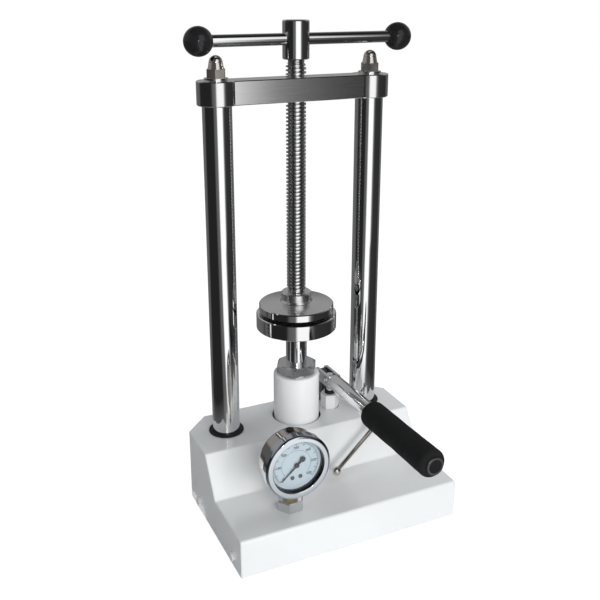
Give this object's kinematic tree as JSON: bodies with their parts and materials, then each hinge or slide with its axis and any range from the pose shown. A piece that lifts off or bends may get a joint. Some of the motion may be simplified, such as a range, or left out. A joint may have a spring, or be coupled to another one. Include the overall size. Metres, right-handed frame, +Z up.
{
  "type": "hydraulic press",
  "caption": "Hand-pumped bench hydraulic press: columns and crosshead, threaded spindle with ball-ended cross bar, pressing discs, lever pump, release valve and dial pressure gauge.",
  "frame": {"origin": "on the press axis (spindle and ram), at bench level on the underside of the bed plate", "axes": "+Z up along the press axis, -Y towards the operator, +X to the operator's right, along the crosshead"},
  "size_m": [0.2613, 0.2617, 0.523],
  "materials": {
    "white_paint": "gloss",
    "bed_paint": "satin",
    "column_chrome": "polished",
    "gauge_chrome": "polished",
    "bright_steel": "fine turned",
    "grey_steel": "machined",
    "screw_steel": "zinc plated",
    "brass": "machined",
    "black_rubber": "matte",
    "foam_rubber": "matte foam",
    "knob_plastic": "polished",
    "clear_window": "clear",
    "dial_white": "matte print",
    "pointer_black": "matte"
  },
  "bodies": {
    "frame": {"bed_plate": "bed_paint", "base_casing": "white_paint", "casing_screws": "white_paint", "bed_screws": "screw_steel", "column_left": "column_chrome", "column_right": "column_chrome", "column_ring_left": "black_rubber", "column_ring_right": "black_rubber", "column_foot_nuts": "screw_steel", "crosshead": "bright_steel", "column_washers": "bright_steel", "column_cap_nuts": "column_chrome", "cylinder_barrel": "white_paint", "gland_nut": "grey_steel", "rod_seal": "black_rubber", "hydraulic_block": "grey_steel", "feed_nipple": "screw_steel", "oil_tank": "grey_steel", "suction_pipe": "brass", "pressure_pipe": "brass", "pump_body": "white_paint", "pump_seal": "black_rubber", "fulcrum_post": "bed_paint", "fulcrum_pin": "screw_steel", "valve_bonnet": "screw_steel", "gauge_fitting": "grey_steel", "gauge_lock_nut": "screw_steel", "gauge_stem": "brass", "gauge_case": "gauge_chrome", "gauge_bezel": "gauge_chrome", "gauge_gasket": "black_rubber", "gauge_window": "clear_window", "gauge_dial": "dial_white", "dial_screws": "screw_steel", "gauge_movement": "brass", "bourdon_tube": "brass", "gauge_filler_plug": "black_rubber"},
    "ram": {"ram": "column_chrome", "piston": "grey_steel", "piston_seal": "black_rubber", "lower_platen": "bright_steel"},
    "upper_disc": {"upper_platen": "bright_steel", "platen_retainer": "screw_steel"},
    "spindle": {"spindle": "grey_steel", "spindle_hub": "bright_steel", "hub_pin": "screw_steel"},
    "bar": {"cross_bar": "column_chrome", "knob_left": "knob_plastic", "knob_right": "knob_plastic"},
    "handle": {"lever_fork": "bright_steel", "handle_tube": "column_chrome", "handle_grip": "foam_rubber", "handle_plug": "knob_plastic"},
    "plunger": {"pump_plunger": "column_chrome", "plunger_pin": "screw_steel"},
    "release": {"valve_spindle": "screw_steel", "release_rod": "column_chrome", "release_ball": "column_chrome"},
    "pointer": {"gauge_pointer": "pointer_black"}
  },
  "joints": [
    {"name": "ram_lift", "type": "slide", "parent": "frame", "child": "ram", "axis": [0, 0, 1], "range_m": [-0.04, 0]},
    {"name": "spindle_feed", "type": "slide", "parent": "frame", "child": "upper_disc", "axis": [0, 0, 1], "range_m": [0, 0.204]},
    {"name": "spindle_turn", "type": "hinge", "parent": "upper_disc", "child": "spindle", "pos_m": [0, 0, 0.3], "axis": [0, 0, 1], "range_deg": [0, 18361]},
    {"name": "bar_slide", "type": "slide", "parent": "spindle", "child": "bar", "axis": [1, 0, 0], "range_m": [-0.02, 0.004]},
    {"name": "handle_pump", "type": "hinge", "parent": "frame", "child": "handle", "pos_m": [0.044, 0.021, 0.1176], "axis": [1, 0, 0], "range_deg": [-16, 15]},
    {"name": "plunger_stroke", "type": "slide", "parent": "frame", "child": "plunger", "axis": [0, 0, 1], "range_m": [-0.00497, 0.0053]},
    {"name": "release_turn", "type": "hinge", "parent": "frame", "child": "release", "pos_m": [0.074, -0.04609, 0.07408], "axis": [0, 0.8258, -0.564], "range_deg": [0, 40]},
    {"name": "pointer_swing", "type": "hinge", "parent": "frame", "child": "pointer", "pos_m": [-0.0565, -0.1295, 0.099], "axis": [0, 1, 0], "range_deg": [0, 270], "stiffness_Nm_per_rad": 0.0005, "springref_deg": -5.73}
  ],
  "couplings": [
    {"joint": "spindle_turn", "follows": "spindle_feed", "rad_per_m": 1570.8},
    {"joint": "handle_pump", "follows": "plunger_stroke", "rad_per_m": -52.632}
  ]
}
